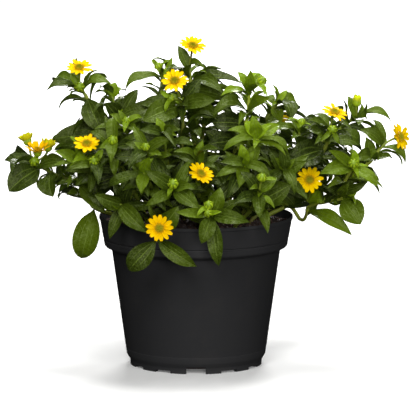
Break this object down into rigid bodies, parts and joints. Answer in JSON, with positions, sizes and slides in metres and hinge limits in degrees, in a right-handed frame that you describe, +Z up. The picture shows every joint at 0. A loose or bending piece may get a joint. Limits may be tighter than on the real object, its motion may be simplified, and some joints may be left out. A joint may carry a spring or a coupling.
{
  "type": "potted flowering plant",
  "caption": "Bushy creeping zinnia with small yellow daisy blooms and dark green leaves, growing in soil in a round black plastic nursery pot.",
  "frame": {"origin": "on the pot's upright axis, at the level of the surface that its feet stand on", "axes": "+Z up along the pot's axis, -Y to the front that the picture shows, +X to the picture's right, along the plant's widest spread"},
  "size_m": [0.2496, 0.1981, 0.2025],
  "materials": {
    "pot": "matt moulded black polypropylene",
    "soil": "crumbly peat-based potting soil, matt",
    "leaf": "living leaf and stem, semi-matt green",
    "petal": "living petal, satin lemon yellow",
    "disc": "small packed florets, yellow-green"
  },
  "bodies": {
    "root": {"bloom_back_disc": "disc", "bloom_back_far_right_disc": "disc", "bloom_back_far_right_rays": "petal", "bloom_back_left_disc": "disc", "bloom_back_left_rays": "petal", "bloom_back_rays": "petal", "bloom_back_right_disc": "disc", "bloom_back_right_rays": "petal", "bloom_far_left": "petal", "bloom_far_left_small": "petal", "bloom_far_left_young": "petal", "bloom_far_right_disc": "disc", "bloom_far_right_rays": "petal", "bloom_front_low_disc": "disc", "bloom_front_low_rays": "petal", "bloom_left_disc": "disc", "bloom_left_high_disc": "disc", "bloom_left_high_rays": "petal", "bloom_left_rays": "petal", "bloom_middle_disc": "disc", "bloom_middle_rays": "petal", "bloom_right_hidden_disc": "disc", "bloom_right_hidden_rays": "petal", "bloom_right_high_disc": "disc", "bloom_right_high_rays": "petal", "bloom_right_low_disc": "disc", "bloom_right_low_rays": "petal", "bloom_right_young": "petal", "bloom_top_disc": "disc", "bloom_top_front_disc": "disc", "bloom_top_front_rays": "petal", "bloom_top_rays": "petal", "pot": "pot", "soil": "soil", "stem_back": "leaf", "stem_back_far_right": "leaf", "stem_back_high": "leaf", "stem_back_left": "leaf", "stem_back_right": "leaf", "stem_far_left": "leaf", "stem_far_right": "leaf", "stem_front_left": "leaf", "stem_front_low": "leaf", "stem_front_middle": "leaf", "stem_front_right": "leaf", "stem_left_front_high": "leaf", "stem_left_high": "leaf", "stem_left_middle": "leaf", "stem_left_rim": "leaf", "stem_middle_front": "leaf", "stem_right_back_high": "leaf", "stem_right_back_tall": "leaf", "stem_right_front_high": "leaf", "stem_right_high": "leaf", "stem_right_middle": "leaf", "stem_right_rim": "leaf", "stem_top": "leaf", "stem_top_front": "leaf", "stem_top_left": "leaf", "stem_top_right": "leaf"}
  },
  "joints": []
}
